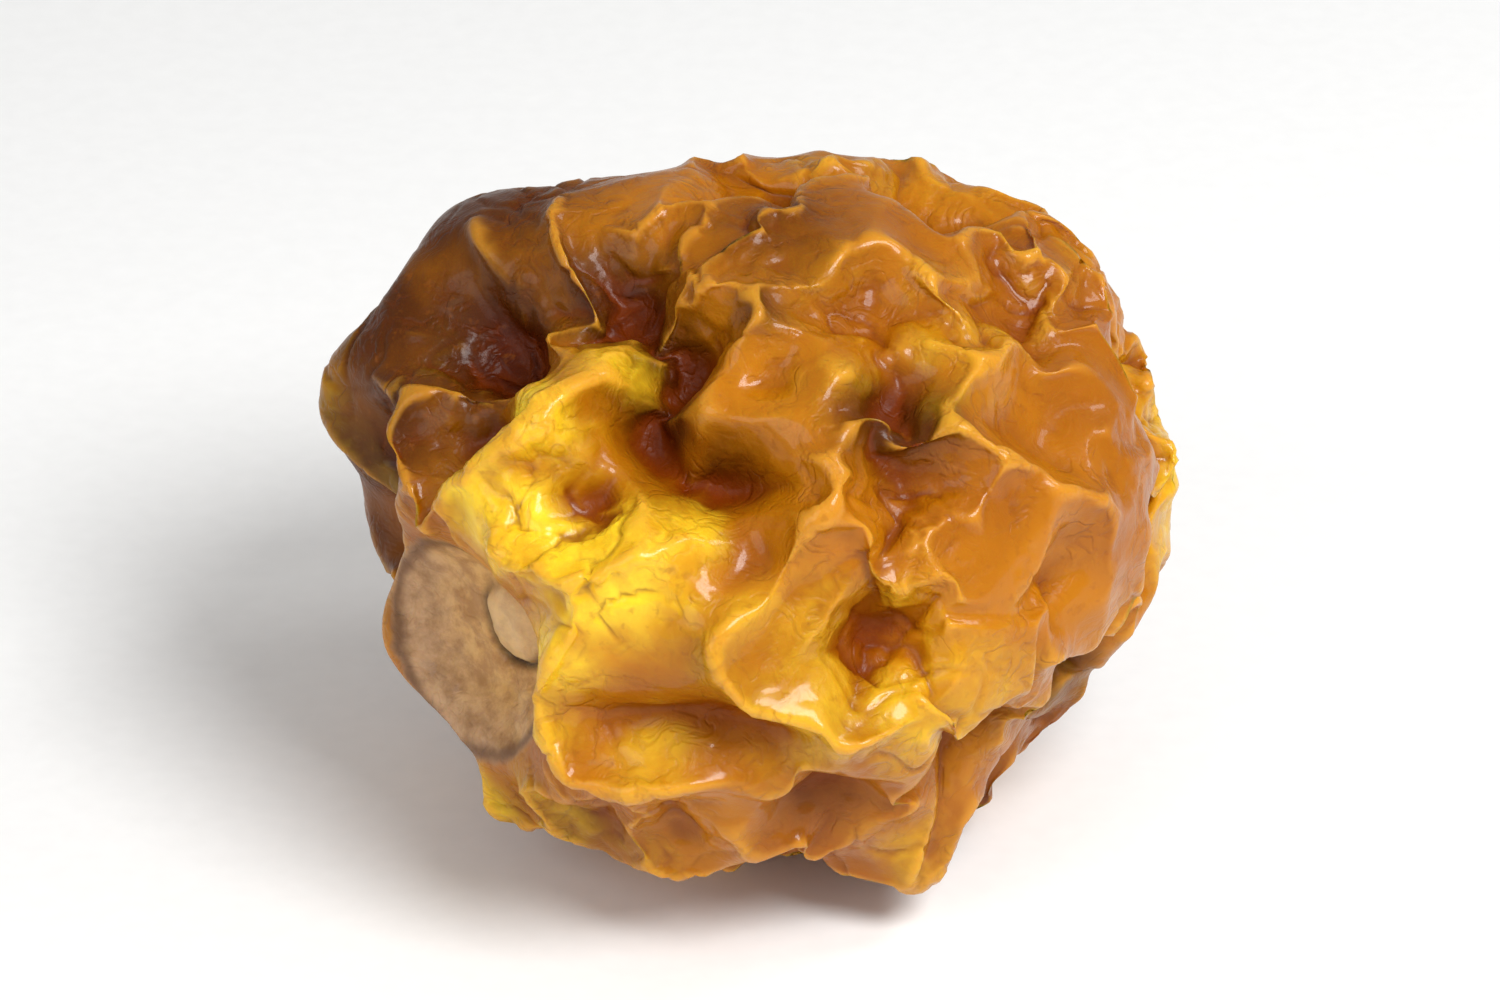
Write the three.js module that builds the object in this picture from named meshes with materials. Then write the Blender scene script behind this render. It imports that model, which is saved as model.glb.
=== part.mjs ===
// A dried goldenberry: one whole fruit out of its husk, shrunk until its skin stands in folds.
// Units are millimetres, +Z is up, and the berry rests on Z = 0 with its centre over the origin.
//
// The flesh is an ellipsoid with swellings, hollows and a flat stalk scar. The skin over it has more
// area than the flesh, as a dried skin has, and is left to settle: it buckles into crests and creases.
//
// A place on the skin is given as it is seen from the front, from SEEN_FROM above the table:
// [right, up], as shares of the half width and the half height of the outline.
import * as THREE from 'three';
import { SimplexNoise } from 'three/addons/math/SimplexNoise.js';
import { mergeVertices } from 'three/addons/utils/BufferGeometryUtils.js';

// Size of the flesh.
const WIDTH = 12.8;
const DEPTH = 12.4;
const HEIGHT = 10.9;
const SEEN_FROM = THREE.MathUtils.degToRad(30);

// Broad rises and falls of the outline: place, radius and height.
const SWELLINGS = [
  { place: [-0.75, 0.65], radius: 2.2, height: 0.85 },
  { place: [0.7, 0.68], radius: 2.4, height: 0.45 },
  { place: [-0.92, 0.46], radius: 1.3, height: 0.5 },
  { place: [-0.97, 0.2], radius: 1.0, height: 0.65 },
  { place: [-0.99, -0.1], radius: 1.2, height: -1.8 },
  { place: [0.82, -0.5], radius: 2.0, height: -0.65 },
  { place: [0.68, -0.75], radius: 1.6, height: -0.7 },
  { place: [0.35, -0.93], radius: 0.75, height: 0.75 },
  { place: [-0.84, -0.6], radius: 1.0, height: -0.6 },
  { place: [-0.62, -0.8], radius: 0.7, height: 0.4 },
  { place: [-0.3, -0.88], radius: 1.5, height: 0.35 },
  { place: [0.01, -0.97], radius: 0.6, height: -0.5 },
];

// Hollows in the front of the berry: place, radius and depth.
const FRONT_HOLLOWS = [
  { place: [-0.66, 0.48], radius: 1.1, depth: 1.5 },
  { place: [-0.72, 0.21], radius: 0.75, depth: 0.9 },
  { place: [-0.35, 0.6], radius: 0.8, depth: 1.1 },
  { place: [-0.22, 0.46], radius: 0.6, depth: 1.0 },
  { place: [-0.28, 0.24], radius: 0.6, depth: 1.2 },
  { place: [-0.1, 0.12], radius: 0.7, depth: 0.9 },
  { place: [-0.42, 0.04], radius: 0.45, depth: 1.3 },
  { place: [0.01, 0.38], radius: 0.5, depth: 0.6 },
  { place: [0.25, 0.54], radius: 0.8, depth: 0.45 },
  { place: [0.62, 0.55], radius: 0.9, depth: 0.4 },
  { place: [0.33, 0.33], radius: 0.6, depth: 0.7 },
  { place: [0.66, 0.24], radius: 0.9, depth: 0.45 },
  { place: [0.34, 0.08], radius: 0.7, depth: 0.5 },
  { place: [0.0, -0.14], radius: 0.8, depth: 0.5 },
  { place: [0.29, -0.36], radius: 0.7, depth: 1.0 },
  { place: [0.72, -0.2], radius: 0.8, depth: 0.4 },
  { place: [-0.1, -0.62], radius: 0.8, depth: 0.4 },
  { place: [0.16, -0.82], radius: 0.7, depth: 0.8 },
  { place: [-0.38, -0.86], radius: 0.5, depth: 0.6 },
  { place: [-0.2, -0.88], radius: 0.5, depth: 0.6 },
];

// Crests that stand out in the front of the berry, each along a curve of places, with its height.
const FRONT_CRESTS = [
  { path: [[-0.8, -0.02], [-0.58, 0.16], [-0.3, 0.42]], height: 0.95 },
  { path: [[-0.68, -0.04], [-0.4, -0.18], [-0.13, -0.08]], height: 0.6 },
  { path: [[-0.36, -0.2], [-0.5, -0.5], [-0.4, -0.67], [0.03, -0.7]], height: 0.85 },
  { path: [[0.13, 0.28], [0.16, 0.03], [-0.1, -0.38], [0.14, -0.56], [0.44, -0.55]], height: 0.65 },
  { path: [[-0.2, 0.6], [-0.03, 0.55], [-0.03, 0.32]], height: 0.45 },
  { path: [[0.06, 0.42], [0.2, 0.35], [0.25, 0.41]], height: 0.3 },
  { path: [[0.15, 0.64], [0.25, 0.69], [0.42, 0.59]], height: 0.3 },
  { path: [[0.65, 0.46], [0.41, 0.26], [0.6, 0.1], [0.87, -0.03]], height: 0.4 },
  { path: [[-0.43, 0.84], [-0.46, 0.66], [-0.34, 0.48]], height: 0.35 },
  { path: [[-0.62, 0.74], [-0.58, 0.56], [-0.5, 0.4]], height: 0.45 },
  { path: [[-0.86, 0.3], [-0.68, 0.33], [-0.48, 0.3]], height: 0.45 },
  { path: [[-0.86, 0.3], [-0.85, 0.14], [-0.82, 0.02]], height: 0.3 },
];

// Creases that are sunk into the front of the berry, given in the same way with their depths.
const FRONT_CREASES = [
  { path: [[-0.42, -0.56], [-0.22, -0.58], [0.12, -0.62]], depth: 0.7 },
  { path: [[-0.46, -0.79], [-0.22, -0.81], [0.0, -0.79]], depth: 0.4 },
  { path: [[-0.14, 0.56], [-0.26, 0.4], [-0.3, 0.22], [-0.16, 0.1], [0.04, 0.06]], depth: 1.5 },
];
const FOLD_HALF_WIDTH = 0.32;
// A crest or a crease grows over this share of its length at either end.
const FOLD_TAPER = 0.25;

// Hollows elsewhere are scattered by chance.
const SEED = 41;
const HOLLOW_GAP = 2.3;
const TRIES_PER_HOLLOW = 15;
const HOLLOW_DEPTH = [0.5, 1.2];
const HOLLOW_RADIUS = [0.8, 1.2];
const LUMP_HEIGHT = 0.15;
const LUMP_LENGTH = 6.5;

// The stalk scar: a flat woody dish in a rim, cut across the skin at a slant, with a plate in it.
// The scar faces another way than the middle of the dish lies.
const SCAR_PLACE = [-0.83, -0.42];
const SCAR_FACES = [-0.71, -0.35];
const SCAR_FROM_CENTRE = 5.0;
const SCAR_RADIUS = 1.95;
const SCAR_BLEND = 0.9;
const SCAR_SKIN_STARTS = 2.1;
const SCAR_SKIN_FREE = 2.8;
const SCAR_FOLDS_START = 2.9;
const SCAR_DRAWN_IN = 0.5;
const SCAR_DRAW_RADIUS = 3.2;
const SCAR_RIM_HEIGHT = 0.3;
const SCAR_RIM_WIDTH = 0.3;
const SCAR_DISH_RADIUS = 1.4;
const SCAR_DISH = 0.25;
const PLATE_PLACE = [-0.8, -0.39];
const PLATE_RADIUS = 0.6;
const PLATE_FOOT_RADIUS = 0.85;
const PLATE_HEIGHT = 0.14;

// The flower end, opposite the scar.
const TIP_RADIUS = 0.9;
const TIP_DEPTH = 0.6;

// The skin: its mesh, how much wider it is than the flesh, and how it settles.
const SKIN_STEPS = 22;
const SKIN_EXCESS = 0.17;
const SKIN_EXCESS_VARIES = 0.04;
const SKIN_PATCH_LENGTH = 4;
const STRETCH_STIFFNESS = 0.25;
const BEND_STIFFNESS = 0.07;
const FLESH_HOLD = 0.035;
const SCAR_HOLD = 0.3;
const SIDE_HOLD = 0.015;
const SETTLE_STEPS = 1500;
const MOTION_KEPT = 0.9;
const FIRST_UNEVENNESS = 0.03;

// Folds that hang over are eased out.
const EASE_PASSES = 60;
const EASE_SHARE = 0.4;
const LEAST_SPREAD = 2e-4;

// The skin is pressed flat where the berry rests.
const PRESSED_FLAT = 0.45;

const MEAN_RADIUS = (WIDTH + DEPTH + HEIGHT) / 6;
const LOOK = Math.atan2(DEPTH * Math.sin(SEEN_FROM), HEIGHT * Math.cos(SEEN_FROM));
const random = seededRandom(SEED);
const noise = new SimplexNoise({ random });

// A small repeatable random number generator, so that every run gives the same berry.
function seededRandom(seed) {
  let state = seed;
  return () => {
    state = (Math.imul(state, 1664525) + 1013904223) >>> 0;
    return state / 4294967296;
  };
}

function between([low, high]) {
  return THREE.MathUtils.lerp(low, high, random());
}

// The direction, from the berry's centre, of a place seen from the front.
function seenDirection([right, up]) {
  const towards = Math.sqrt(Math.max(0, 1 - right * right - up * up));
  return new THREE.Vector3(
    right,
    up * Math.sin(LOOK) - towards * Math.cos(LOOK),
    up * Math.cos(LOOK) + towards * Math.sin(LOOK),
  ).normalize();
}

// Smooth noise from -1 to 1 that changes over the given length.
function noiseAt(direction, length) {
  const { x, y, z } = direction.clone().multiplyScalar(MEAN_RADIUS / length);
  return noise.noise3d(x, y, z);
}

function skinDistance(a, b) {
  return MEAN_RADIUS * a.angleTo(b);
}

function bump(distance, radius) {
  return Math.exp(-((distance / radius) ** 2));
}

function makeHollows() {
  const hollows = FRONT_HOLLOWS.map(({ place, radius, depth }) => (
    { direction: seenDirection(place), radius, depth }));
  const tries = Math.round(TRIES_PER_HOLLOW * (2 * MEAN_RADIUS / HOLLOW_GAP) ** 2);
  for (let i = 0; i < tries; i += 1) {
    const direction = new THREE.Vector3().setFromSphericalCoords(
      1, Math.acos(1 - 2 * random()), 2 * Math.PI * random());
    if (hollows.every((hollow) => skinDistance(hollow.direction, direction) > HOLLOW_GAP)) {
      hollows.push({ direction, radius: between(HOLLOW_RADIUS), depth: between(HOLLOW_DEPTH) });
    }
  }
  return hollows;
}

// Crests and creases as rows of points along their curves; a crease has a height below zero.
function makeFolds() {
  const creases = FRONT_CREASES.map(({ path, depth }) => ({ path, height: -depth }));
  return [...FRONT_CRESTS, ...creases].map(({ path, height }) => {
    const curve = new THREE.CatmullRomCurve3(path.map(seenDirection));
    const steps = Math.ceil(curve.getLength() * MEAN_RADIUS / (FOLD_HALF_WIDTH / 2));
    return { points: curve.getSpacedPoints(steps), height };
  });
}

// Height of a crest or crease beside its curve; it tapers off at both ends.
function foldHeight(direction, { points, height }) {
  let share = 0;
  points.forEach((point, i) => {
    const along = i / (points.length - 1);
    const taper = THREE.MathUtils.smoothstep(Math.min(along, 1 - along), 0, FOLD_TAPER);
    const distance = MEAN_RADIUS * direction.distanceTo(point);
    share = Math.max(share, taper * Math.exp(-distance / FOLD_HALF_WIDTH));
  });
  return height * share;
}

// Height of the flesh above the even ellipsoid, at a point of the ellipsoid in a direction.
function fleshHeight(direction, point, forms) {
  const { swellings, hollows, folds, scar } = forms;
  const fromScar = skinDistance(direction, scar.place);
  const fromTip = skinDistance(direction, scar.place.clone().negate());
  let height = LUMP_HEIGHT * noiseAt(direction, LUMP_LENGTH)
    - SCAR_DRAWN_IN * bump(fromScar, SCAR_DRAW_RADIUS)
    - TIP_DEPTH * bump(fromTip, TIP_RADIUS);
  for (const swelling of swellings) {
    height += swelling.height * bump(skinDistance(direction, swelling.direction), swelling.radius);
  }
  let relief = 0;
  for (const hollow of hollows) {
    relief -= hollow.depth * bump(skinDistance(direction, hollow.direction), hollow.radius);
  }
  for (const fold of folds) {
    relief += foldHeight(direction, fold);
  }
  height += relief * THREE.MathUtils.smoothstep(fromScar, SCAR_RADIUS, SCAR_FOLDS_START);
  const offScar = THREE.MathUtils.smoothstep(fromScar, SCAR_RADIUS, SCAR_RADIUS + SCAR_BLEND);
  if (offScar === 1) {
    return height;
  }
  const flat = (scar.distance - point.dot(scar.faces)) / direction.dot(scar.faces);
  const rim = SCAR_RIM_HEIGHT * bump(fromScar - SCAR_RADIUS - SCAR_RIM_WIDTH, SCAR_RIM_WIDTH);
  const dish = SCAR_DISH * (1 - THREE.MathUtils.smoothstep(fromScar, SCAR_DISH_RADIUS, SCAR_RADIUS));
  const fromPlate = skinDistance(direction, scar.plate);
  const plate = PLATE_HEIGHT * (1 - THREE.MathUtils.smoothstep(fromPlate, PLATE_RADIUS, PLATE_FOOT_RADIUS));
  return THREE.MathUtils.lerp(flat, height, offScar) + rim - dish + plate;
}

// The scar's place, the way it faces, its distance from the centre along that way, and its plate.
function makeScar() {
  const place = seenDirection(SCAR_PLACE);
  const faces = seenDirection(SCAR_FACES);
  return {
    place, faces, distance: SCAR_FROM_CENTRE * place.dot(faces), plate: seenDirection(PLATE_PLACE),
  };
}

// For each vertex, the list of the vertices that share an edge with it.
function neighbourLists(geometry) {
  const sets = Array.from({ length: geometry.getAttribute('position').count }, () => new Set());
  const index = geometry.getIndex().array;
  for (let i = 0; i < index.length; i += 3) {
    const [a, b, c] = index.subarray(i, i + 3);
    sets[a].add(b).add(c);
    sets[b].add(a).add(c);
    sets[c].add(a).add(b);
  }
  return sets.map((set) => Int32Array.from(set));
}

// How far each vertex stands off the mean of its neighbours.
function standOff(values, near) {
  const result = new Float64Array(values.length);
  for (let i = 0; i < near.length; i += 1) {
    const list = near[i];
    for (let k = 0; k < 3; k += 1) {
      let sum = 0;
      for (let n = 0; n < list.length; n += 1) {
        sum += values[3 * list[n] + k];
      }
      result[3 * i + k] = values[3 * i + k] - sum / list.length;
    }
  }
  return result;
}

// Moves the skin step by step to where stretch, bending and the hold of the flesh balance.
function settle(even, flesh, near, excess, loose) {
  const skin = Float64Array.from(flesh);
  const motion = new Float64Array(skin.length);
  const evenOff = standOff(even, near);
  const edge = (points, i, j) => Math.hypot(
    points[3 * j] - points[3 * i],
    points[3 * j + 1] - points[3 * i + 1],
    points[3 * j + 2] - points[3 * i + 2],
  );
  const rest = near.map((list, i) => Float64Array.from(list, (j) => THREE.MathUtils.lerp(
    edge(flesh, i, j),
    edge(even, i, j) * (1 + (excess[i] + excess[j]) / 2),
    (loose[i] + loose[j]) / 2,
  )));
  const hold = loose.map((share) => THREE.MathUtils.lerp(SCAR_HOLD, FLESH_HOLD, share));
  const force = new Float64Array(3);
  for (let step = 0; step < SETTLE_STEPS; step += 1) {
    const bend = standOff(standOff(skin, near).map((value, i) => value - evenOff[i]), near);
    for (let i = 0; i < near.length; i += 1) {
      const list = near[i];
      const radius = Math.hypot(even[3 * i], even[3 * i + 1], even[3 * i + 2]);
      let outward = 0;
      for (let k = 0; k < 3; k += 1) {
        outward += (flesh[3 * i + k] - skin[3 * i + k]) * (even[3 * i + k] / radius);
      }
      for (let k = 0; k < 3; k += 1) {
        force[k] = -BEND_STIFFNESS * bend[3 * i + k]
          + hold[i] * outward * (even[3 * i + k] / radius)
          + SIDE_HOLD * (flesh[3 * i + k] - skin[3 * i + k]);
      }
      for (let n = 0; n < list.length; n += 1) {
        const j = list[n];
        const length = edge(skin, i, j);
        const pull = STRETCH_STIFFNESS * (length - rest[i][n]) / length;
        for (let k = 0; k < 3; k += 1) {
          force[k] += pull * (skin[3 * j + k] - skin[3 * i + k]);
        }
      }
      for (let k = 0; k < 3; k += 1) {
        motion[3 * i + k] = MOTION_KEPT * motion[3 * i + k] + force[k];
      }
    }
    for (let i = 0; i < skin.length; i += 1) {
      skin[i] += motion[i];
    }
  }
  return skin;
}

function berryGeometry() {
  const forms = {
    swellings: SWELLINGS.map(({ place, radius, height }) => (
      { direction: seenDirection(place), radius, height })),
    hollows: makeHollows(),
    folds: makeFolds(),
    scar: makeScar(),
  };
  const ball = new THREE.IcosahedronGeometry(1, SKIN_STEPS);
  ball.deleteAttribute('normal');
  ball.deleteAttribute('uv');
  const geometry = mergeVertices(ball, 1e-4);
  const position = geometry.getAttribute('position');
  const half = new THREE.Vector3(WIDTH, DEPTH, HEIGHT).multiplyScalar(0.5);
  const even = [];
  const flesh = [];
  const excess = [];
  const loose = [];
  for (let i = 0; i < position.count; i += 1) {
    const direction = new THREE.Vector3().fromBufferAttribute(position, i).normalize();
    const fromScar = skinDistance(direction, forms.scar.place);
    const offScar = THREE.MathUtils.smoothstep(fromScar, SCAR_SKIN_STARTS, SCAR_SKIN_FREE);
    const point = direction.clone().multiply(half);
    even.push(...point);
    const height = fleshHeight(direction, point, forms) + offScar * FIRST_UNEVENNESS * (random() - 0.5);
    flesh.push(...point.addScaledVector(direction, height));
    excess.push(SKIN_EXCESS + SKIN_EXCESS_VARIES * noiseAt(direction, SKIN_PATCH_LENGTH));
    loose.push(offScar);
  }
  const near = neighbourLists(geometry);
  const skin = settle(even, flesh, near, excess, loose);
  easeOverhangs(skin, near, geometry.getIndex().array);
  position.array.set(skin);
  return restOnFloor(geometry);
}

// Smooths the skin where a fold hangs over, until all of it can be seen from the berry's centre.
function easeOverhangs(skin, near, index) {
  for (let pass = 0; pass < EASE_PASSES; pass += 1) {
    const folded = new Set();
    for (let i = 0; i < index.length; i += 3) {
      const corners = Array.from(index.subarray(i, i + 3));
      const [a, b, c] = corners.map((j) => new THREE.Vector3().fromArray(skin, 3 * j).normalize());
      if (a.dot(b.cross(c)) < LEAST_SPREAD) {
        corners.forEach((j) => folded.add(j));
      }
    }
    const off = standOff(skin, near);
    for (const i of folded) {
      for (let k = 3 * i; k < 3 * i + 3; k += 1) {
        skin[k] -= EASE_SHARE * off[k];
      }
    }
  }
}

// Presses the lowest skin flat, straight towards the berry's centre, and sets the berry on Z = 0
// with its centre over the origin.
function restOnFloor(geometry) {
  const position = geometry.getAttribute('position');
  geometry.computeBoundingBox();
  const floor = geometry.boundingBox.min.z + PRESSED_FLAT;
  const point = new THREE.Vector3();
  for (let i = 0; i < position.count; i += 1) {
    point.fromBufferAttribute(position, i);
    if (point.z < floor) {
      point.multiplyScalar(floor / point.z);
      position.setXYZ(i, point.x, point.y, floor);
    }
  }
  geometry.translate(0, 0, -floor);
  geometry.computeBoundingBox();
  const centre = geometry.boundingBox.getCenter(new THREE.Vector3());
  geometry.translate(-centre.x, -centre.y, 0);
  geometry.computeVertexNormals();
  return geometry;
}

const skinMaterial = new THREE.MeshStandardMaterial({
  name: 'waxy amber skin',
  color: 0xc47c1c,
  roughness: 0.38,
  metalness: 0,
});

const berry = new THREE.Mesh(berryGeometry(), skinMaterial);
berry.name = 'dried_goldenberry';

const part = new THREE.Group();
part.add(berry);

export default part;
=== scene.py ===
"""A dried goldenberry: the skin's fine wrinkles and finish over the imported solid, and its stage."""

import math

import bmesh
import bpy
import numpy as np
from bpy.props import FloatProperty, FloatVectorProperty, IntProperty, PointerProperty
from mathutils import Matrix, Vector, noise


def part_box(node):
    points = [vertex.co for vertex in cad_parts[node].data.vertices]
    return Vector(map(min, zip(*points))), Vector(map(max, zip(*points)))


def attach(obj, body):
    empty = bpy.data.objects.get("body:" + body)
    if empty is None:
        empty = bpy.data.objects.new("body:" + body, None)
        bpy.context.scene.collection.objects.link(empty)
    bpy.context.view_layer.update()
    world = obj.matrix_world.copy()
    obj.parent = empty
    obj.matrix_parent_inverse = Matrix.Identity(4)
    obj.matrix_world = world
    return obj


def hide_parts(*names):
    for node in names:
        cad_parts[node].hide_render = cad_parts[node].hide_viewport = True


bl_info = {
    "name": "Dried Goldenberry",
    "version": (1, 0, 0),
    "blender": (4, 5, 0),
    "location": "View3D > Sidebar > Goldenberry",
    "description": "Wrinkled, waxy skin for a dried goldenberry, and a plain stage to see it on",
    "category": "Object",
}

NODE = "dried_goldenberry"
PIECE = "goldenberry_skin"
BODY = "root"
MM = 0.001

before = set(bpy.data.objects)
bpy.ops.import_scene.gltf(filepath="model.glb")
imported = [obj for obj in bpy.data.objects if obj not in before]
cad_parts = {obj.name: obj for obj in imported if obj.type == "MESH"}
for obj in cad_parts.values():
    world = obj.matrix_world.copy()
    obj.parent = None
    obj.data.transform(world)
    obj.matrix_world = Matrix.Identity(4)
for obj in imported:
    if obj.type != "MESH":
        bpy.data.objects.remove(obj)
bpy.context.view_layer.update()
BERRY_LOW, BERRY_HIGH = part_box(NODE)
BERRY_SIZE = BERRY_HIGH - BERRY_LOW
BERRY_MIDDLE = (BERRY_LOW + BERRY_HIGH) / 2

# The photograph looks down on the berry from this angle, and +X is to its right.
CAMERA_ELEVATION = math.radians(30)
CAMERA_LENS_MM = 250
SENSOR_WIDTH_MM = 36
PHOTO_SIZE = (1500, 1000)
BERRY_SHARE_OF_FRAME = 0.74

# Where the flat woody scar of the stalk and the raised plate in it are, as the solid has them.
SCAR_MIDDLE = Vector((-3.95, -2.26, 4.18)) * MM
SCAR_RADIUS = 1.9 * MM
PLATE_MIDDLE = Vector((-3.57, -2.77, 4.76)) * MM
PLATE_RADIUS = 0.7 * MM
PLATE_CRACKED_SIDE = Vector((-0.8, -0.3, -0.52))

# Where the skin is flushed yellow, and where it is darkened: partly skin that turned brown in drying,
# partly painted shadow and shade, the darkest on the upper left and in some hollows. Each patch has its
# place as it is seen in the photograph, right and up in shares of the half width and the half height of
# the outline, then its radius in millimetres and its strength.
FLUSHED = (
    ((-0.36, -0.2), 1.3, 1.3),
    ((-0.6, -0.08), 0.9, 1.2),
    ((-0.66, 0.07), 0.7, 1.1),
    ((-0.52, 0.22), 0.7, 1.1),
    ((-0.34, 0.4), 0.6, 0.55),
    ((-0.16, -0.1), 0.7, 0.8),
    ((-0.48, -0.42), 0.9, 1.1),
    ((-0.52, -0.62), 0.8, 0.85),
    ((-0.24, -0.7), 0.8, 0.5),
    ((-0.2, -0.45), 1.4, 0.15),
    ((0.14, -0.58), 1.5, 0.3),
    ((0.0, -0.3), 0.8, 0.25),
    ((0.46, -0.6), 1.4, 0.35),
    ((0.36, -0.92), 0.8, 0.5),
)
# Darkened patches: partly skin that turned brown in drying, partly painted shadow and shade.
BROWNED_AND_SHADOWED = (
    ((-0.7, 0.5), 1.7, 1.0),
    ((-0.36, 0.62), 1.2, 1.0),
    ((-0.6, 0.76), 2.2, 0.85),
    ((-0.9, 0.24), 1.6, 0.95),
    ((-0.84, 0.48), 1.5, 0.9),
    ((-0.99, 0.1), 1.6, 0.9),
    ((-0.76, 0.24), 0.8, 0.7),
    ((-0.26, 0.26), 0.8, 1.0),
    ((-0.06, 0.1), 0.9, 0.65),
    ((-0.22, 0.48), 0.8, 0.95),
    ((0.02, 0.52), 0.6, 0.7),
    ((0.35, 0.22), 1.0, 1.0),
    ((0.05, 0.74), 1.6, 0.6),
    ((-0.12, -0.42), 1.0, 0.3),
    ((0.29, -0.36), 0.8, 0.35),
    ((0.16, -0.88), 0.9, 0.35),
    ((-0.34, -0.92), 1.2, 0.45),
    ((-0.56, -0.84), 0.8, 0.4),
)

# How much of the flush and the browning the unseen sides get, by chance, and over which distance.
CHANCE_SIZE = 3.2 * MM
CHANCE_FLUSH = 0.7
CHANCE_BROWN = 0.8

# How the skin settles: its stiffness when stretched, its hold against sliding, the share of its
# motion that it keeps from step to step, and the first unevenness in millimetres.
STRETCH = 0.25
SIDE_HOLD = 0.01
MOTION_KEPT = 0.9
FIRST_UNEVENNESS_MM = 0.004

# The two rounds of finer folds. Each has the hold of the flesh, the stiffness in bending, the steps,
# the typical height of a fold, and the spacing and the depth of the creases drawn first.
SMALL_FOLDS = (0.06, 0.1, 500, 0.14 * MM, 1.5 * MM, 0.03 * MM)
FINE_WRINKLES = (0.06, 0.08, 300, 0.05 * MM, 0.7 * MM, 0.04 * MM)
CREST_POWER = 1.6
HOLLOW_DRAW = 1.15
CREASE_SHARE = 0.16

CRACK_WIDTH = 0.075 * MM
CRACK_DEPTH = 0.12 * MM
CRACK_WOBBLE = 0.16 * MM

# Sizes of the patterns in the skin and in the scar.
BLOTCH_SIZE = 3.4 * MM
MOTTLE_SIZE = 1.2 * MM
YELLOW_SIZE = 0.7 * MM
FINE_FOLD_SIZE = 0.45 * MM
WAVE_SIZE = 0.35 * MM
SHEEN_SIZE = 0.3 * MM
SPECK_SIZE = 0.2 * MM
CORK_SIZE = 0.4 * MM


def linear(code):
    """The linear colour of an sRGB hex code."""
    shares = [int(code[i:i + 2], 16) / 255 for i in (1, 3, 5)]
    return tuple(s / 12.92 if s <= 0.04045 else ((s + 0.055) / 1.055) ** 2.4 for s in shares)


class GoldenberrySettings(bpy.types.PropertyGroup):
    """Sizes and colours of the skin."""

    body_colour: FloatVectorProperty(
        name="Body", description="Skin on the open faces between the folds",
        subtype="COLOR", min=0, max=1, default=linear("#B26C04"))
    # Painted light: crests are painted paler, for the glow through the thin skin and the highlights on it.
    crest_glow_colour: FloatVectorProperty(
        name="Crests", description="Thin skin that stands up and lets light through",
        subtype="COLOR", min=0, max=1, default=linear("#D4922C"))
    # Darker skin in the hollows: partly its own colour, partly painted shade.
    hollow_and_shade_colour: FloatVectorProperty(
        name="Hollows", description="Skin drawn down on the sticky flesh",
        subtype="COLOR", min=0, max=1, default=linear("#742D02"))
    flush_colour: FloatVectorProperty(
        name="Flush", description="Yellow skin round the stalk end",
        subtype="COLOR", min=0, max=1, default=linear("#FAD22A"))
    # Partly skin that turned brown in drying, partly painted shadow and shade.
    browned_and_shadow_colour: FloatVectorProperty(
        name="Browned", description="Skin that browned as it dried",
        subtype="COLOR", min=0, max=1, default=linear("#4E2402"))
    scar_colour: FloatVectorProperty(
        name="Scar", description="Corky plate where the stalk came off",
        subtype="COLOR", min=0, max=1, default=linear("#CC9E60"))
    fold_excess: FloatProperty(
        name="Fold excess", description="How much wider the skin is than what it lies on, for small folds",
        min=0, max=0.5, default=0.14)
    wrinkle_excess: FloatProperty(
        name="Wrinkle excess", description="The same for the finest wrinkles",
        min=0, max=0.5, default=0.15)
    patch_size: FloatProperty(
        name="Patch size", description="Distance over which the skin changes from smooth to wrinkled",
        unit="LENGTH", min=0, default=2.6 * MM)
    pore_size: FloatProperty(
        name="Pore size", description="Spacing of the finest grain in the skin",
        unit="LENGTH", min=0, default=0.12 * MM)
    seed: IntProperty(name="Seed", description="Choice of wrinkles", default=7)


def seen_direction(right, up):
    """The direction, from the berry's middle, of a place seen in the photograph."""
    look = math.atan2(
        BERRY_SIZE.y * math.sin(CAMERA_ELEVATION), BERRY_SIZE.z * math.cos(CAMERA_ELEVATION))
    towards = math.sqrt(max(0, 1 - right * right - up * up))
    return Vector((
        right,
        up * math.sin(look) - towards * math.cos(look),
        up * math.cos(look) + towards * math.sin(look),
    )).normalized()


def neighbour_table(bm):
    """For each vertex, its neighbours' numbers, filled up with its own number where it has only five."""
    count = len(bm.verts)
    pairs = np.array([(e.verts[0].index, e.verts[1].index) for e in bm.edges])
    start = np.concatenate([pairs[:, 0], pairs[:, 1]])
    end = np.concatenate([pairs[:, 1], pairs[:, 0]])
    order = np.argsort(start, kind="stable")
    start, end = start[order], end[order]
    first = np.searchsorted(start, np.arange(count))
    table = np.repeat(np.arange(count)[:, None], np.bincount(start).max(), axis=1)
    table[start, np.arange(len(start)) - first[start]] = end
    return table


def points_of(bm):
    return np.array([v.co for v in bm.verts], dtype=float)


def normals_of(bm):
    bm.normal_update()
    return np.array([v.normal for v in bm.verts], dtype=float)


def put_points(bm, points):
    for vert, point in zip(bm.verts, points):
        vert.co = point


def read_layer(bm, name):
    layer = bm.verts.layers.float[name]
    return np.array([v[layer] for v in bm.verts])


def write_layer(bm, name, values):
    layer = bm.verts.layers.float.get(name) or bm.verts.layers.float.new(name)
    for vert, value in zip(bm.verts, values):
        vert[layer] = value


def stand_off(points, table):
    """How far each vertex stands off the mean of its neighbours."""
    return points - points[table].mean(axis=1)


def refine(bm):
    """Cuts each triangle in four and rounds the result, as Loop's subdivision does."""
    bmesh.ops.subdivide_edges(bm, edges=bm.edges[:], cuts=1, use_grid_fill=True)
    bm.verts.index_update()
    bm.verts.ensure_lookup_table()
    table = neighbour_table(bm)
    points = points_of(bm)
    put_points(bm, points - 0.75 * stand_off(points, table))
    return table


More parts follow.
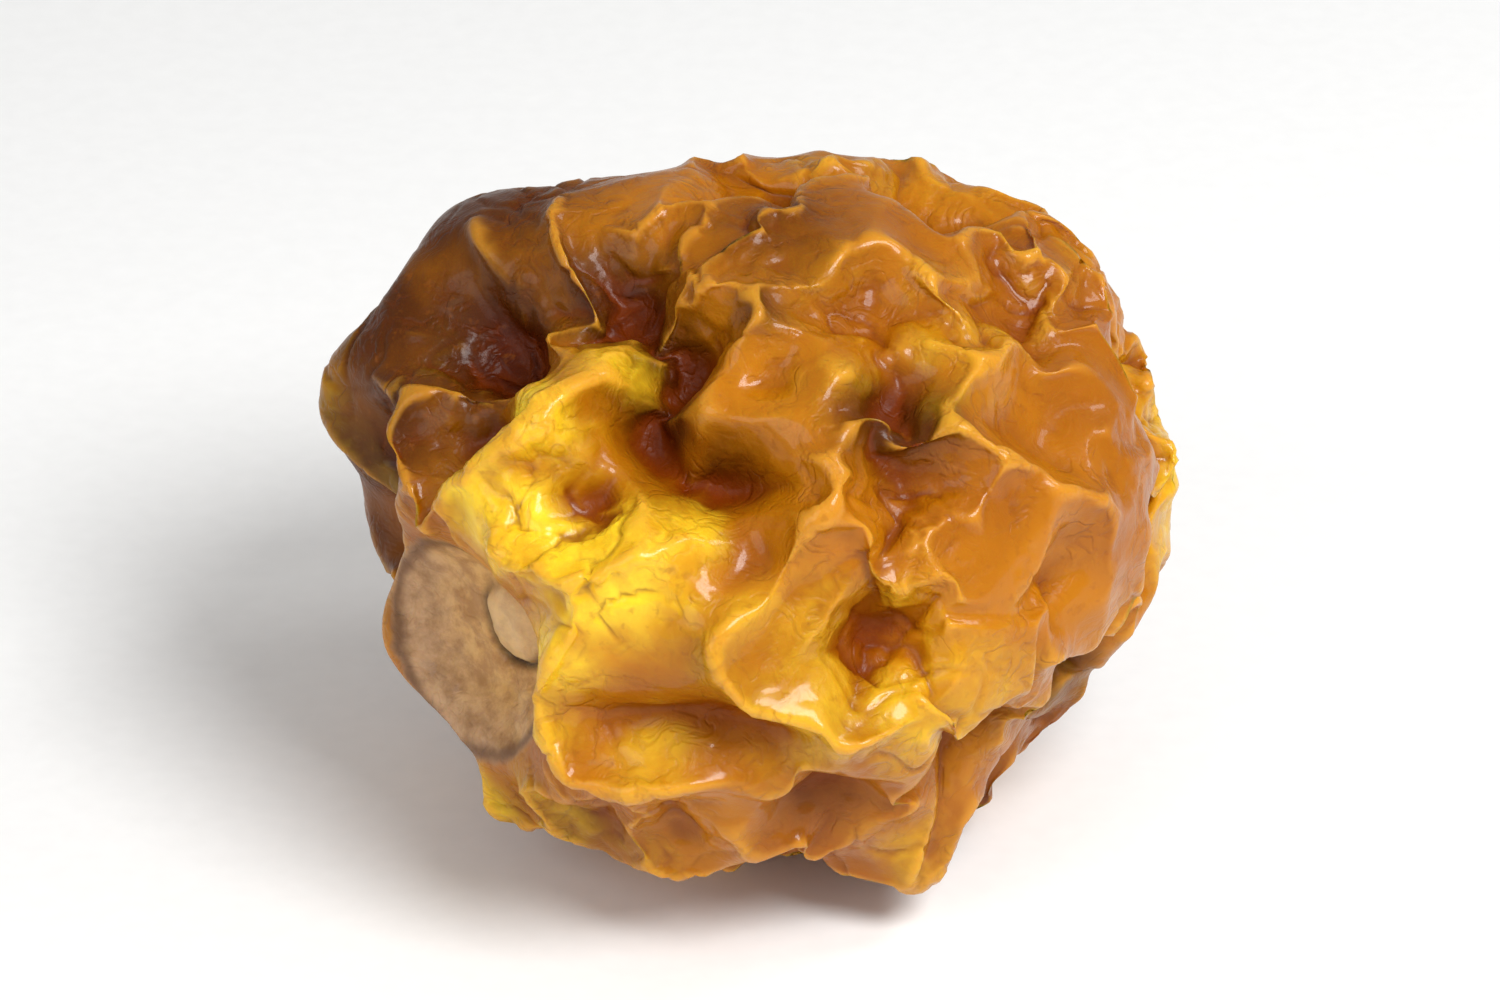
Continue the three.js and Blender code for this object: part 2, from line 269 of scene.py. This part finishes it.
def settle(bm, table, excess, hold, bend, steps):
    """Lets skin that is wider than what it lies on buckle, until stretch, bending and hold balance."""
    base = points_of(bm) / MM
    normals = normals_of(bm)
    base_off = stand_off(base, table)
    reach = base[table] - base[:, None]
    rest = np.linalg.norm(reach, axis=2) * (1 + (excess[table] + excess[:, None]) / 2)
    grain = np.random.default_rng(len(base)).uniform(-1, 1, len(base))
    points = base + FIRST_UNEVENNESS_MM * grain[:, None] * normals
    motion = np.zeros_like(points)
    for _ in range(steps):
        reach = points[table] - points[:, None]
        length = np.sqrt(np.einsum("ijk,ijk->ij", reach, reach)) + 1e-9
        pull = STRETCH * np.einsum("ij,ijk->ik", 1 - rest / length, reach)
        bending = stand_off(-reach.mean(axis=1) - base_off, table)
        back = base - points
        outward = np.einsum("ij,ij->i", back, normals)
        force = pull - bend * bending + (hold * outward)[:, None] * normals + SIDE_HOLD * back
        motion = MOTION_KEPT * motion + force
        points = points + motion
    put_points(bm, points * MM)


def depth_below(bm, table, passes, scale):
    """How far each vertex lies below the skin smoothed over its surroundings, in shares of scale."""
    points = points_of(bm)
    smooth = points.copy()
    for _ in range(passes):
        smooth -= 0.5 * stand_off(smooth, table)
    return np.einsum("ij,ij->i", smooth - points, normals_of(bm)) / scale


def smoothstep(values, low, high):
    share = np.clip((values - low) / (high - low), 0, 1)
    return share * share * (3 - 2 * share)


def noise_over(points, size, seed):
    shift = Vector((seed * 3.1, seed * 1.7, seed * 2.3))
    return np.array([noise.noise(Vector(p) / size + shift) for p in points])


def patches(directions, places, by_chance):
    """How strongly each direction is covered by the patches seen from the front, or by chance behind."""
    mean_radius = sum(BERRY_SIZE) / 6
    cover = np.zeros(len(directions))
    for place, radius_mm, strength in places:
        towards = np.array(seen_direction(*place))
        distance = mean_radius * np.arccos(np.clip(directions @ towards, -1, 1))
        cover = np.maximum(cover, strength * np.exp(-((distance / (radius_mm * MM)) ** 2)))
    unseen = 1 - smoothstep(directions @ np.array(seen_direction(0, 0)), -0.1, 0.35)
    return np.maximum(cover, unseen * by_chance)


def veins(points):
    """Pale veins that run out from the stalk scar, as noise that hardly changes along them."""
    axis = np.array((SCAR_MIDDLE - BERRY_MIDDLE).normalized())
    across = np.cross(axis, (0, 0, 1))
    across /= np.linalg.norm(across)
    offset = points - np.array(BERRY_MIDDLE)
    angle = np.arctan2(offset @ np.cross(axis, across), offset @ across)
    away = np.arccos(np.clip(offset @ axis / np.linalg.norm(offset, axis=1), -1, 1))
    rays = np.stack([3.5 * np.cos(angle), 3.5 * np.sin(angle), 1.2 * away], axis=1)
    return noise_over(rays, 1, 3)


def paint_zones(bm, settings):
    """Writes, for each vertex, its distance from the scar, how flushed it is, and how darkened it is, partly
    by browning and partly by painted shadow.
    """
    points = points_of(bm)
    write_layer(bm, "from_scar", np.linalg.norm(points - np.array(SCAR_MIDDLE), axis=1) / SCAR_RADIUS)
    directions = (points - np.array(BERRY_MIDDLE)) / np.array(BERRY_SIZE)
    directions /= np.linalg.norm(directions, axis=1)[:, None]
    write_layer(bm, "vein", veins(points))
    chance = noise_over(points, CHANCE_SIZE, settings.seed + 5)
    write_layer(bm, "flush", patches(directions, FLUSHED, CHANCE_FLUSH * smoothstep(chance, 0.1, 0.55)))
    write_layer(bm, "browned_and_shadowed", patches(directions, BROWNED_AND_SHADOWED, CHANCE_BROWN * smoothstep(-chance, 0.05, 0.5)))


def sharpen_folds(bm, table, passes, typical_height):
    """Narrows the crests and draws them up, so that they read as pinched skin."""
    height = -depth_below(bm, table, passes, typical_height)
    drawn = np.where(height > 0, np.abs(height) ** CREST_POWER, height * HOLLOW_DRAW)
    off_scar = smoothstep(read_layer(bm, "from_scar"), 1.0, 1.4)
    move = np.clip(drawn - height, -0.8, 0.8) * typical_height * off_scar
    put_points(bm, points_of(bm) + move[:, None] * normals_of(bm))


def draw_wrinkles(bm, size, depth, seed):
    """Draws winding creases into the skin, where smooth noise over it changes its sign."""
    points = points_of(bm)
    bend = np.stack([noise_over(points, 1.6 * size, seed + k) for k in (1, 2, 3)], axis=1)
    level = np.abs(noise_over(points + 0.45 * size * bend, size, seed))
    in_crease = 1 - np.minimum(level / CREASE_SHARE, 1) ** 0.7
    move = depth * in_crease * read_layer(bm, "wrinkled")
    put_points(bm, points - move[:, None] * normals_of(bm))


def roughen_scar(bm, settings):
    """Roughens the scar like cork, and opens a crack round one side of the raised plate in it."""
    points = points_of(bm)
    offset = points - np.array(PLATE_MIDDLE)
    distance = np.linalg.norm(offset, axis=1)
    wobble = CRACK_WOBBLE * noise_over(points, 0.5 * MM, settings.seed)
    ring = np.exp(-(((distance - PLATE_RADIUS - wobble) / CRACK_WIDTH) ** 2))
    facing = (offset / distance[:, None]) @ np.array(PLATE_CRACKED_SIDE.normalized())
    crack = ring * (0.2 + 0.8 * smoothstep(facing, -0.25, 0.35))
    write_layer(bm, "crack", crack)
    write_layer(bm, "from_plate", (distance - wobble) / PLATE_RADIUS)
    on_scar = smoothstep(read_layer(bm, "from_scar"), 1.0, 0.85)
    coarse = 0.05 * MM * noise_over(points, 0.45 * MM, settings.seed + 9)
    fine = 0.025 * MM * noise_over(points, 0.2 * MM, settings.seed)
    move = on_scar * (coarse + fine) - CRACK_DEPTH * crack
    put_points(bm, points + move[:, None] * normals_of(bm))


def dried_skin_mesh(settings):
    """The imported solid's skin with small folds and fine wrinkles added."""
    bm = bmesh.new()
    bm.from_mesh(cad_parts[NODE].data)
    bmesh.ops.remove_doubles(bm, verts=bm.verts, dist=2e-6)
    bmesh.ops.triangulate(bm, faces=bm.faces)
    bm.verts.index_update()
    table = neighbour_table(bm)
    points = points_of(bm)
    paint_zones(bm, settings)
    write_layer(bm, "hollow", depth_below(bm, table, 30, 0.5 * MM))
    wrinkled = 0.55 + 0.9 * noise_over(points, settings.patch_size, settings.seed)
    wrinkled = np.clip(wrinkled + 0.5 * read_layer(bm, "flush"), 0.35, 1.2)
    off_scar = smoothstep(read_layer(bm, "from_scar"), 0.95, 1.4)
    off_foot = smoothstep(points[:, 2], 0.05 * MM, 0.4 * MM)
    write_layer(bm, "wrinkled", wrinkled * off_scar * off_foot)

    for excess, folds in ((settings.fold_excess, SMALL_FOLDS), (settings.wrinkle_excess, FINE_WRINKLES)):
        hold, bend, steps, typical_height, crease_size, crease_depth = folds
        table = refine(bm)
        sharpen_folds(bm, table, 24, typical_height)
        draw_wrinkles(bm, crease_size, crease_depth, settings.seed)
        wrinkled = read_layer(bm, "wrinkled")
        hold = hold + 0.3 * np.clip(1 - wrinkled, 0, 1) ** 4
        settle(bm, table, excess * wrinkled, hold, bend, steps)
    write_layer(bm, "crease", depth_below(bm, table, 20, 0.06 * MM))
    roughen_scar(bm, settings)

    points = points_of(bm)
    low, high = points.min(axis=0), points.max(axis=0)
    target_low, target_high = np.array(BERRY_LOW), np.array(BERRY_HIGH)
    put_points(bm, target_low + (points - low) / (high - low) * (target_high - target_low))
    mesh = bpy.data.meshes.new(PIECE)
    bm.to_mesh(mesh)
    bm.free()
    mesh.polygons.foreach_set("use_smooth", [True] * len(mesh.polygons))
    return mesh


def add_node(tree, kind, settings=None, links=None):
    """Adds one node, sets its properties and inputs, and links sockets into its inputs."""
    node = tree.nodes.new(kind)
    for name, value in (settings or {}).items():
        if name in node.inputs:
            node.inputs[name].default_value = value
        else:
            setattr(node, name, value)
    for name, source in (links or {}).items():
        tree.links.new(source, node.inputs[name])
    return node


def attribute(tree, name):
    return add_node(tree, "ShaderNodeAttribute", {"attribute_name": name}).outputs["Fac"]


def ranged(tree, value, low, high):
    """The value stretched so that low becomes 0 and high becomes 1, with soft ends."""
    return add_node(
        tree, "ShaderNodeMapRange",
        {"interpolation_type": "SMOOTHSTEP", "From Min": low, "From Max": high},
        {"Value": value}).outputs["Result"]


def maths(tree, operation, first, second):
    node = add_node(tree, "ShaderNodeMath", {"operation": operation})
    for socket, value in zip(node.inputs, (first, second)):
        if isinstance(value, (int, float)):
            socket.default_value = value
        else:
            tree.links.new(value, socket)
    return node.outputs[0]


def mixed(tree, share, first, second):
    """Mixes two colours, each a socket or a linear colour."""
    node = add_node(tree, "ShaderNodeMix", {"data_type": "RGBA"})
    tree.links.new(share, node.inputs[0])
    for socket, value in zip((node.inputs[6], node.inputs[7]), (first, second)):
        if isinstance(value, bpy.types.NodeSocket):
            tree.links.new(value, socket)
        else:
            socket.default_value = (*value, 1)
    return node.outputs[2]


def scaled(tree, value, factor):
    return maths(tree, "MULTIPLY", value, factor)


def pattern(tree, size, detail=2.0, roughness=0.5, distortion=0.0):
    """Noise from 0 to 1 whose spots are of the given size."""
    place = add_node(tree, "ShaderNodeTexCoord").outputs["Object"]
    return add_node(
        tree, "ShaderNodeTexNoise",
        {"Scale": 1 / size, "Detail": detail, "Roughness": roughness, "Distortion": distortion},
        {"Vector": place}).outputs["Fac"]


def mottle(tree):
    return pattern(tree, MOTTLE_SIZE, 4.0, 0.6, 0.5)


def uneven(tree, value, amount):
    """The value raised and lowered by the mottling, so that the edge of a zone wanders."""
    return maths(tree, "ADD", value, scaled(tree, maths(tree, "SUBTRACT", mottle(tree), 0.5), amount))


def fine_folds(tree):
    """Winding lines in patches, where the skin is creased finer than its mesh."""
    level = maths(tree, "SUBTRACT", pattern(tree, FINE_FOLD_SIZE, 2.0, 0.5, 0.7), 0.5)
    level = maths(tree, "ABSOLUTE", level, 0)
    return scaled(tree, ranged(tree, level, 0.09, 0.0), ranged(tree, mottle(tree), 0.38, 0.6))


def skin_colour(tree, settings):
    """Golden skin: yellow by the stalk; brown where it dried longest, with painted shadow on the upper left;
    paler on crests as painted glow and highlight; darker in folds, partly its own colour and partly painted
    shade.
    """
    hollow = attribute(tree, "hollow")
    crease = attribute(tree, "crease")
    colour = mixed(
        tree, ranged(tree, pattern(tree, BLOTCH_SIZE, 2.0, 0.5, 0.6), 0.35, 0.65),
        settings.body_colour, linear("#9A5602"))
    # Darker in the hollows: partly the skin's own colour, partly painted shade.
    colour = mixed(tree, ranged(tree, uneven(tree, hollow, 0.6), 0.2, 1.3), colour, settings.hollow_and_shade_colour)

    # The brown patches: partly skin that turned brown in drying, partly painted shadow, darkest on the upper
    # left; painted shade makes them darker still in the hollows.
    browned_and_shadowed = mixed(tree, ranged(tree, hollow, 0.0, 0.8), settings.browned_and_shadow_colour, linear("#401100"))
    browning_and_shadow = uneven(tree, attribute(tree, "browned_and_shadowed"), 0.5)
    colour = mixed(tree, ranged(tree, browning_and_shadow, 0.0, 0.85), colour, browned_and_shadowed)

    flush = uneven(tree, attribute(tree, "flush"), 0.6)
    flush = maths(tree, "SUBTRACT", flush, scaled(tree, ranged(tree, hollow, 0.1, 1.2), 0.7))
    flush = maths(tree, "SUBTRACT", flush, scaled(tree, crease, 0.12))
    flush = maths(tree, "ADD", flush, scaled(tree, attribute(tree, "vein"), 0.3))
    yellow = mixed(
        tree, ranged(tree, pattern(tree, YELLOW_SIZE, 4.0, 0.6), 0.35, 0.7),
        settings.flush_colour, linear("#E4AE1C"))
    colour = mixed(tree, ranged(tree, flush, 0.0, 1.0), colour, yellow)

    specks = ranged(tree, pattern(tree, SPECK_SIZE, 2.0, 0.6), 0.6, 0.75)
    for share, strength, over in (
        # Painted shade: darker in the fine creases.
        (ranged(tree, crease, 0.2, 1.8), 0.7, settings.hollow_and_shade_colour),
        # Painted glow and highlight: paler on the fine crests.
        (ranged(tree, crease, -0.3, -1.6), 0.5, settings.crest_glow_colour),
        # Painted shade: dark lines where the skin is creased finer than its mesh.
        (fine_folds(tree), 0.16, settings.hollow_and_shade_colour),
        (specks, 0.3, linear("#8A4A0C")),
    ):
        colour = mixed(tree, scaled(tree, share, strength), colour, over)
    return colour


def scar_colours(tree, settings):
    """Cork: tan, greyer away from the raised plate, which is paler."""
    cork = pattern(tree, CORK_SIZE, 4.0, 0.65)
    from_plate = attribute(tree, "from_plate")
    tan = mixed(tree, ranged(tree, cork, 0.35, 0.65), settings.scar_colour, linear("#A87A48"))
    greyed = mixed(tree, ranged(tree, cork, 0.3, 0.7), linear("#C49C74"), linear("#9A7450"))
    tone = mixed(tree, ranged(tree, uneven(tree, from_plate, 1.2), 1.5, 3.2), tan, greyed)
    return mixed(tree, scaled(tree, ranged(tree, from_plate, 1.0, 0.8), 0.4), tone, linear("#DDBE90"))


def skin_relief(tree, settings):
    """Grain, small waves and fine lines that break up the light on the skin."""
    normal = None
    for strength, depth, invert, height in (
        (0.35, 0.02 * MM, False, pattern(tree, settings.pore_size, 3.0, 0.6)),
        (0.5, 0.06 * MM, False, pattern(tree, WAVE_SIZE, 3.0, 0.55, 0.8)),
        (0.55, 0.03 * MM, True, fine_folds(tree)),
    ):
        links = {"Height": height}
        if normal is not None:
            links["Normal"] = normal
        normal = add_node(
            tree, "ShaderNodeBump", {"Strength": strength, "Distance": depth, "invert": invert},
            links).outputs["Normal"]
    return normal


def skin_material(settings):
    """Goldenberry skin, sun dried: waxy and leathery, so it glows where it is thin and has a soft gloss."""
    material = bpy.data.materials.new("goldenberry skin, sun dried")
    material.use_nodes = True
    tree = material.node_tree
    shader = tree.nodes["Principled BSDF"]

    from_scar = uneven(tree, attribute(tree, "from_scar"), 0.25)
    on_scar = ranged(tree, from_scar, 1.06, 0.96)
    scar_edge = scaled(tree, scaled(tree, on_scar, ranged(tree, from_scar, 0.82, 0.95)), 0.75)
    colour = mixed(tree, on_scar, skin_colour(tree, settings), scar_colours(tree, settings))
    colour = mixed(tree, scar_edge, colour, linear("#5C3618"))
    colour = mixed(tree, attribute(tree, "crack"), colour, linear("#3A2410"))

    gloss = maths(tree, "ADD", 0.24, scaled(tree, pattern(tree, SHEEN_SIZE, 3.0, 0.6), 0.26))
    browning_and_shadow = ranged(tree, uneven(tree, attribute(tree, "browned_and_shadowed"), 0.5), 0.0, 0.85)
    coat = scaled(
        tree, ranged(tree, attribute(tree, "hollow"), 0.9, 0.0),
        maths(tree, "SUBTRACT", 1, scaled(tree, browning_and_shadow, 0.6)))
    for name, source in (
        ("Base Color", colour),
        ("Roughness", maths(tree, "ADD", gloss, scaled(tree, on_scar, 0.3))),
        ("Normal", skin_relief(tree, settings)),
        ("Coat Weight", scaled(tree, coat, 0.34)),
    ):
        tree.links.new(source, shader.inputs[name])
    for name, value in (
        ("IOR", 1.42),
        ("Specular IOR Level", 0.15),
        ("Subsurface Weight", 0.2),
        ("Subsurface Radius", (1.0, 0.35, 0.06)),
        ("Subsurface Scale", 0.5 * MM),
        ("Coat Roughness", 0.11),
    ):
        shader.inputs[name].default_value = value
    return material


class GOLDENBERRY_OT_skin(bpy.types.Operator):
    """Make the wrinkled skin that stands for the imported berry"""

    bl_idname = "goldenberry.skin"
    bl_label = "Dried Skin"

    def execute(self, context):
        settings = context.scene.goldenberry
        skin = bpy.data.objects.new(PIECE, dried_skin_mesh(settings))
        context.scene.collection.objects.link(skin)
        skin.data.materials.append(skin_material(settings))
        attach(skin, BODY)
        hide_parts(NODE)
        return {"FINISHED"}


def backdrop_material():
    """Matte white card, which only takes the soft shadow."""
    material = bpy.data.materials.new("white card, matte")
    material.use_nodes = True
    tree = material.node_tree
    shader = tree.nodes["Principled BSDF"]
    place = add_node(tree, "ShaderNodeTexCoord").outputs["Object"]
    fibre = add_node(tree, "ShaderNodeTexNoise", {"Scale": 1 / (0.4 * MM)}, {"Vector": place}).outputs["Fac"]
    tree.links.new(mixed(tree, fibre, linear("#FAFAF9"), linear("#F4F4F3")), shader.inputs["Base Color"])
    shader.inputs["Roughness"].default_value = 0.9
    return material


def aim(thing, at):
    thing.rotation_euler = (thing.location - at).to_track_quat("Z", "Y").to_euler()


def direction_from(azimuth, elevation):
    """A direction from the berry: azimuth 0 is the photograph's side, and 90 is its right."""
    a, e = math.radians(azimuth), math.radians(elevation)
    return Vector((math.sin(a) * math.cos(e), -math.cos(a) * math.cos(e), math.sin(e)))


class GOLDENBERRY_OT_stage(bpy.types.Operator):
    """Make the floor, the soft lights and the camera"""

    bl_idname = "goldenberry.stage"
    bl_label = "Studio Stage"

    def execute(self, context):
        scene = context.scene
        self.make_floor(scene)
        self.make_lights(scene)
        self.make_camera(scene)
        return {"FINISHED"}

    def make_floor(self, scene):
        bm = bmesh.new()
        bmesh.ops.create_grid(bm, x_segments=1, y_segments=1, size=1.5)
        mesh = bpy.data.meshes.new("floor")
        bm.to_mesh(mesh)
        bm.free()
        mesh.materials.append(backdrop_material())
        floor = bpy.data.objects.new("floor", mesh)
        scene.collection.objects.link(floor)

    def make_lights(self, scene):
        for name, azimuth, elevation, distance, size, power in (
            ("key", 38, 48, 0.11, 0.05, 0.115),
            ("fill", -45, 28, 0.12, 0.09, 0.045),
            ("rim", 100, 45, 0.11, 0.03, 0.02),
        ):
            data = bpy.data.lights.new(name, "AREA")
            data.shape = "DISK"
            data.size = size
            data.energy = power
            light = bpy.data.objects.new(name, data)
            light.location = BERRY_MIDDLE + direction_from(azimuth, elevation) * distance
            aim(light, BERRY_MIDDLE)
            scene.collection.objects.link(light)
        world = bpy.data.worlds.new("pale room")
        world.use_nodes = True
        world.node_tree.nodes["Background"].inputs["Color"].default_value = (1, 1, 1, 1)
        world.node_tree.nodes["Background"].inputs["Strength"].default_value = 0.36
        scene.world = world
        scene.view_settings.view_transform = "Standard"

    def make_camera(self, scene):
        seen_height = math.hypot(
            BERRY_SIZE.z * math.cos(CAMERA_ELEVATION), BERRY_SIZE.y * math.sin(CAMERA_ELEVATION))
        frame_height = seen_height / BERRY_SHARE_OF_FRAME
        sensor_height = SENSOR_WIDTH_MM * PHOTO_SIZE[1] / PHOTO_SIZE[0]
        data = bpy.data.cameras.new("camera")
        data.lens = CAMERA_LENS_MM
        data.sensor_width = SENSOR_WIDTH_MM
        data.clip_start = 0.01
        camera = bpy.data.objects.new("camera", data)
        camera.location = BERRY_MIDDLE + direction_from(0, math.degrees(CAMERA_ELEVATION)) * (
            frame_height * CAMERA_LENS_MM / sensor_height)
        aim(camera, BERRY_MIDDLE)
        scene.collection.objects.link(camera)
        scene.camera = camera


class GOLDENBERRY_PT_panel(bpy.types.Panel):
    """Lists the berry's sizes and colours, and the steps that make it"""

    bl_idname = "GOLDENBERRY_PT_panel"
    bl_label = "Dried Goldenberry"
    bl_space_type = "VIEW_3D"
    bl_region_type = "UI"
    bl_category = "Goldenberry"

    def draw(self, context):
        settings = context.scene.goldenberry
        for name in GoldenberrySettings.__annotations__:
            self.layout.prop(settings, name)
        self.layout.operator(GOLDENBERRY_OT_skin.bl_idname)
        self.layout.operator(GOLDENBERRY_OT_stage.bl_idname)


CLASSES = (GoldenberrySettings, GOLDENBERRY_OT_skin, GOLDENBERRY_OT_stage, GOLDENBERRY_PT_panel)


def register():
    for cls in CLASSES:
        bpy.utils.register_class(cls)
    bpy.types.Scene.goldenberry = PointerProperty(type=GoldenberrySettings)


def unregister():
    del bpy.types.Scene.goldenberry
    for cls in reversed(CLASSES):
        bpy.utils.unregister_class(cls)


def main():
    register()
    bpy.ops.goldenberry.stage()
    bpy.ops.goldenberry.skin()


if __name__ == "__main__":
    main()
